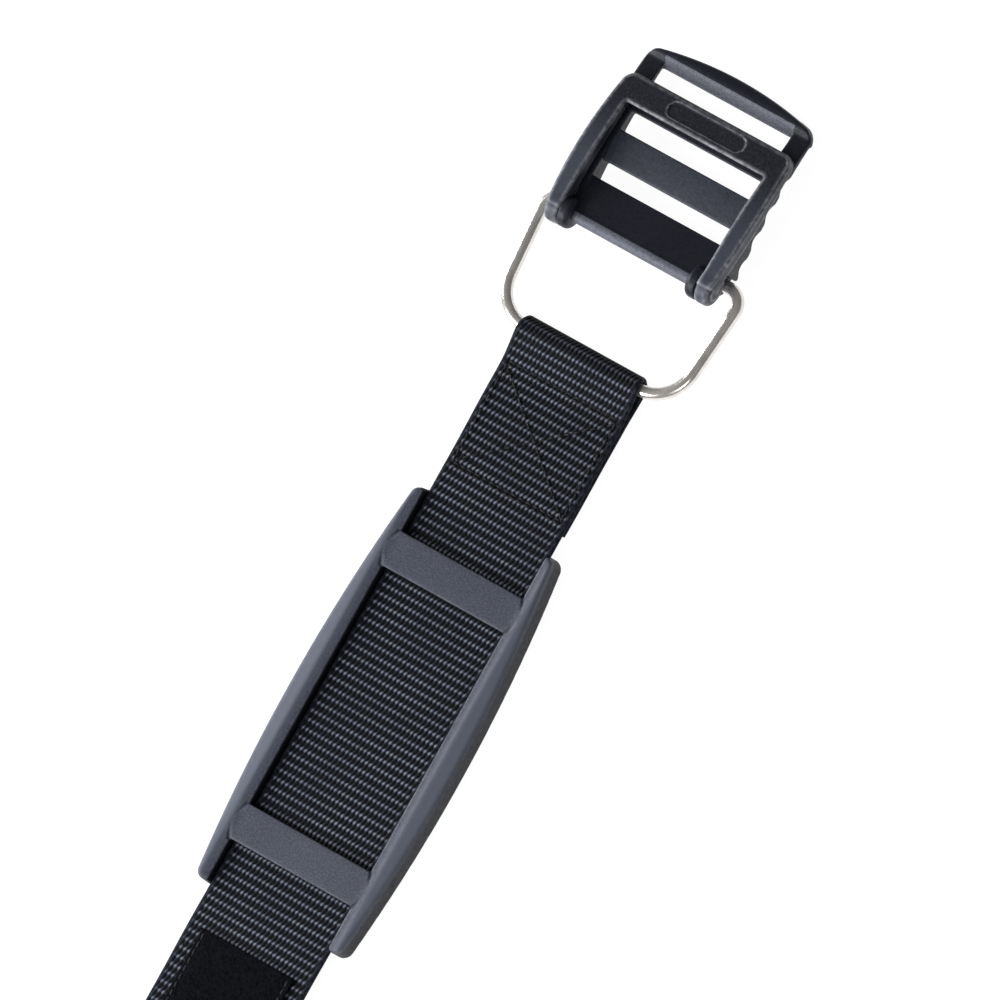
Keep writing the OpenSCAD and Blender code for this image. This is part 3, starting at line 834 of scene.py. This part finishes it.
def lever_field(x, y, z):
    """The lever: two rails with bars between them, and a root that holds wire and pin."""
    ax = np.abs(x)
    round_pin = np.hypot(y - PIN_Y, z - PIN_Z)
    round_wire = np.hypot(y - AXIS_Y, z - AXIS_Z)
    end_bow_r = 138
    bow = np.hypot(x, y - LEVER_END + end_bow_r) - end_bow_r
    outline = corner(ax - LEVER_HALF_W, bow, 4.2)
    top = np.hypot(y - CURVE_Y, z - CURVE_Z) - 239.65
    arch = 129 - np.hypot(y - 212, z + 125.7)
    rails = all_of(0.9, outline, top, arch, 183.6 - y, -z)
    rails = smooth_max(rails, RAIL_IN - ax, 0.5)
    # finger scoops along the outside
    for i in range(4):
        scoop = np.hypot(ax - 38.7, y - 188.6 - 10 * i) - 6
        rails = smooth_max(rails, -scoop, 0.5)
    # the bars between the rails: the gripping bar stands proud and is crowned
    crown = z - 8.5 + 0.012 * (y - (GRIP[0] + GRIP[1]) / 2) ** 2
    grip = all_of(0.8, GRIP[0] - y, y - GRIP[1], crown, arch, ax - 27.5)
    second = all_of(0.8, SECOND[0] - y, y - SECOND[1], top + 0.15, arch, ax - 27.5)
    # the end bar is a low ridge: its inner face slopes up from the slot
    inner_face = (z - RIDGE_Z) * 0.84 - (y - RIDGE_Y) * 0.54
    outer_face = (z - RIDGE_Z) * 0.95 + (y - RIDGE_Y) * 0.31
    end = all_of(1.0, outline, END_START - y, inner_face, outer_face, z - 4.9, -z)
    end = smooth_max(end, ax - 34.4, 0.5)
    root = smooth_min(polygon_field(y, z, ROOT), round_pin - 2.4, 0.6)
    root = smooth_max(root, ax - 28, 0.6)
    # bosses that hold the wire's ends, cut back round the knobs
    boss = all_of(0.6, round_wire - 4.0, ax - 31.6, 26.0 - ax, -z)
    boss = smooth_max(boss, 6.1 - round_pin, 0.4)
    solid = smooth_min(rails, smooth_min(grip, second, 0.5), 0.7)
    solid = smooth_min(solid, end, 0.6)
    solid = smooth_min(solid, root, 0.7)
    solid = smooth_min(solid, boss, 0.5)
    # knuckles beside the frame's knobs
    knuckle = corner(round_pin - 5.6, 23.9 - ax, 2.0)
    knuckle = smooth_max(knuckle, ax - 28.05, 0.3)
    solid = smooth_min(solid, knuckle, 0.6)
    for start, stop in SLOTS:
        slot = np.abs(y - (start + stop) / 2) - (stop - start) / 2
        solid = smooth_max(solid, -smooth_max(ax - RAIL_IN, slot, 0.9), 0.5)
    wire = np.maximum(round_wire - 2.33, 22.0 - ax)
    return smooth_max(smooth_max(solid, -wire, 0.15), 1.52 - round_pin, 0.1)


FRAME_HALF_W, FRAME_BOW_R, FRAME_WIDEST_Y = 35.3, 230, 203  # the arms' outsides are arcs
FRAME_END, OPENING_END = 228.4, 218.3
OPENING_X = 28.4
CHAMFER = 0.5
KNOB_R, KNOB_X = 5.7, (28.3, 33.4)


def frame_field(x, y, z):
    """The frame: a U of two arms and a cross bar, with a knob at each arm's foot."""
    ax = np.abs(x)
    sides = np.hypot(ax + FRAME_BOW_R - FRAME_HALF_W, y - FRAME_WIDEST_Y) - FRAME_BOW_R
    outline = corner(sides, y - FRAME_END, 4)
    top = np.hypot(y - 171.7, z + 183) - 200
    low = 240 - np.hypot(y - CURVE_Y, z - CURVE_Z)
    opening = smooth_max(ax - OPENING_X, y - OPENING_END, 1.2)
    # a chamfer runs round the outside and the opening
    body = all_of(0.5, outline, top, low, PIN_Y - y)
    body = smooth_max(body, (outline + top) * math.sqrt(0.5) + CHAMFER, 0.25)
    body = smooth_max(body, -opening, 0.5)
    body = smooth_max(body, (top - opening) * math.sqrt(0.5) + CHAMFER * 0.8, 0.25)
    # the long shallow panel on the cross bar
    px = np.clip(np.abs(x - 1.2) - 12.5, 0, None)
    stadium = np.hypot(px, y - 223.5) - 2.8
    body = body + 0.36 * step(-stadium, -0.1, 0.1) * (z > 5)
    # knobs, each with a raised boss in the middle
    round_pin = np.hypot(y - PIN_Y, z - PIN_Z)
    knob = all_of(1.4, round_pin - KNOB_R, KNOB_X[0] - ax, ax - KNOB_X[1])
    boss = all_of(0.5, round_pin - 3.4, KNOB_X[0] + 0.2 - ax, ax - KNOB_X[1] - 0.6)
    knob = smooth_max(smooth_min(knob, boss, 0.3), KNOB_X[0] - ax, 0.3)
    body = smooth_min(body, knob, 1.2)
    bore = np.maximum(round_pin - 1.56, ax - 32.3)
    return smooth_max(body, -bore, 0.1)


def lathe(name, profile, body, material, stands_for, sides=40):
    """A turned piece along X through the hinge, from (x, radius) pairs."""
    turn = 2 * np.pi * np.arange(sides) / sides
    verts = [
        (x, PIN_Y + r * math.cos(a), PIN_Z + r * math.sin(a)) for x, r in profile for a in turn
    ]
    faces = []
    for i in range(len(profile) - 1):
        here, ahead = i * sides, (i + 1) * sides
        for j in range(sides):
            nxt = (j + 1) % sides
            faces.append([here + j, here + nxt, ahead + nxt, ahead + j])
    last = (len(profile) - 1) * sides
    faces += [list(reversed(range(sides))), [last + j for j in range(sides)]]
    return add_mesh(name, verts, faces, body, material, stands_for)


verts, faces = skin(lever_field, (-35.5, 170.5, -1), (35.5, 245, 18), 0.45)
finishes = [PLASTIC, GRAINED_PAINTED_LIT, PAINTED_HIGHLIGHT_PLASTIC]
lever = add_mesh(
    "slotted_lever_body", verts, faces, "lever", finishes, ["slotted_lever"]
)
verts, faces = skin(frame_field, (-36.5, 170, 3), (36.5, 230, 18.5), 0.42)
add_mesh("locking_frame_body", verts, faces, "frame", FRAME, ["locking_frame"])
# rounded at its ends, with a shallow groove near each
pin_profile = [(-32, 0.9), (-31.6, 1.35), (-31.2, 1.5), (-24, 1.5)]
pin_profile += [(-23.8, 1.44), (-23.2, 1.44), (-23, 1.5)]
pin_profile += [(-x, r) for x, r in reversed(pin_profile)]
lathe("buckle_hinge_pin", pin_profile, "lever", PIN, ["hinge_pin"])


def finish_faces(obj, which):
    """Picks a material for each face from its middle and its normal."""
    mesh = obj.data
    middle = np.zeros(len(mesh.polygons) * 3, np.float32)
    mesh.polygons.foreach_get("center", middle)
    normal = np.zeros_like(middle)
    mesh.polygons.foreach_get("normal", normal)
    pick = which(middle.reshape(-1, 3) / MM, normal.reshape(-1, 3))
    mesh.polygons.foreach_set("material_index", pick.astype(np.int32))


def lever_finish(p, n):
    """1, grained and painted paler as painted light, on the gripping bar, and 2, a painted highlight, on
    the end bar and the round bar.
    """
    x, y, faces_up = np.abs(p[:, 0]), p[:, 1], n[:, 2] > 0.3
    between = (x < RAIL_IN) & faces_up
    grip = between & (y > GRIP[0] + 0.2) & (y < GRIP[1] - 0.2)
    # painted highlight on the end bar's inner slope and the round bar's top, upward faces only
    painted_lit = between & (y > END_START + 0.2) & (y < RIDGE_Y - 0.1)
    painted_lit |= (x < 23.8) & (y < 178.2) & faces_up
    return grip + 2 * painted_lit


finish_faces(lever, lever_finish)

# ------------------------------------------------------------------ floor, light and camera


def floor():
    half_m, below_m = 4, 0.0002
    corners = [(-half_m, -half_m), (half_m, -half_m), (half_m, half_m), (-half_m, half_m)]
    mesh = bpy.data.meshes.new("floor")
    mesh.from_pydata([(x, y, -below_m) for x, y in corners], [], [(0, 1, 2, 3)])
    m = Finish(
        "floor", Specular_IOR_Level=0.0, Emission_Color=rgb(1, 1, 1), Emission_Strength=0.95
    )
    tone = m.spread(m.noise(0.003, 2), 0, 1)
    base = m.mix(tone, rgb(0.17, 0.17, 0.17), rgb(0.19, 0.19, 0.19))
    mesh.materials.append(m.finish(Base_Color=base, Roughness=0.9))
    obj = bpy.data.objects.new("floor", mesh)
    bpy.context.scene.collection.objects.link(obj)


def softbox(name, direction, distance_m, size_m, watts):
    """A rectangular light, aimed at a point on the strap."""
    light = bpy.data.lights.new(name, "AREA")
    light.shape = "RECTANGLE"
    light.size, light.size_y = size_m
    light.energy = watts
    obj = bpy.data.objects.new(name, light)
    away = Vector(direction).normalized()
    aim_m = Vector((0, 0.05, 0))
    obj.location = aim_m + away * distance_m
    obj.rotation_mode = "QUATERNION"
    obj.rotation_quaternion = (-away).to_track_quat("-Z", "Y")
    bpy.context.scene.collection.objects.link(obj)


def camera():
    """A long lens far off, tilted over to one side and rolled."""
    tilt = math.radians(24)
    roll_cos, roll_sin = 0.8738, 0.4863
    target_m, distance_m = Vector((-0.00058, 0.0830, 0.0053)), 9.165
    across = Vector((math.cos(tilt), 0, -math.sin(tilt)))
    along = Vector((0, 1, 0))
    right = roll_cos * across + roll_sin * along
    up = roll_cos * along - roll_sin * across
    back = right.cross(up)
    data = bpy.data.cameras.new("camera")
    data.lens, data.sensor_width = 1000, 36
    data.clip_start, data.clip_end = 0.5, 100
    obj = bpy.data.objects.new("camera", data)
    matrix = Matrix((right, up, back)).transposed().to_4x4()
    matrix.translation = target_m + back * distance_m
    obj.matrix_world = matrix
    bpy.context.scene.collection.objects.link(obj)
    bpy.context.scene.camera = obj


floor()
softbox("key", (-0.55, -0.8, 0.75), 1.1, (0.9, 0.7), 15)
softbox("fill", (0.78, -0.45, 0.85), 1.2, (0.5, 0.5), 2.2)
softbox("side", (-1, 0.05, 0.25), 1.2, (0.4, 1.2), 17)
camera()
world = bpy.data.worlds.new("studio")
world.use_nodes = True
background = world.node_tree.nodes["Background"]
background.inputs["Color"].default_value = rgb(1, 1, 1)
background.inputs["Strength"].default_value = 0.14
bpy.context.scene.world = world
bpy.context.scene.view_settings.view_transform = "Standard"
